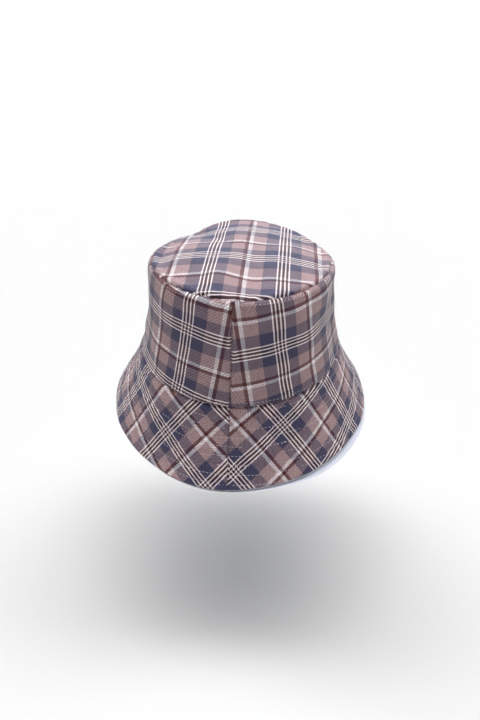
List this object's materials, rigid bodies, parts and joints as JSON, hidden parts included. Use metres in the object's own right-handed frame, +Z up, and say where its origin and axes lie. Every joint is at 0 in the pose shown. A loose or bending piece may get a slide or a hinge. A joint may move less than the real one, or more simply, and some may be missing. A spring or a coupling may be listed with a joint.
{
  "type": "bucket hat",
  "caption": "Soft bucket hat with a domed round tip, two-panel tapered side and steep row-stitched brim, lined, in plaid cloth.",
  "frame": {"origin": "centre of the brim's edge, on the surface that the hat stands on", "axes": "+Z up through the crown; -Y towards the front seam; +X to the right when the front seam faces the viewer"},
  "size_m": [0.263, 0.263, 0.17],
  "materials": {
    "plaid": "brushed twill plaid in navy, rose tan, maroon and white",
    "interlining": "stiff non-woven",
    "plain_lining": "plain weave, pale blue-white",
    "sweatband": "herringbone tape",
    "label": "blank satin tape",
    "thread": "spun sewing thread"
  },
  "bodies": {
    "hat": {"crown_tip": "plaid", "crown_side_left": "plaid", "crown_side_right": "plaid", "brim_upper_left": "plaid", "brim_upper_right": "plaid", "brim_interlining_left": "interlining", "brim_interlining_right": "interlining", "brim_under_left": "plain_lining", "brim_under_right": "plain_lining", "lining_tip": "plain_lining", "lining_side_left": "plain_lining", "lining_side_right": "plain_lining", "sweatband": "sweatband", "tip_topstitch": "thread", "crown_base_topstitch": "thread", "brim_stitch_rows": "thread", "sweatband_stitch": "thread"},
    "label": {"care_label": "label"}
  },
  "joints": [
    {"name": "label_flap", "type": "hinge", "parent": "hat", "child": "label", "pos_m": [0, 0.0795, 0.148], "axis": [-1, 0, 0], "range_deg": [0, 100]}
  ]
}
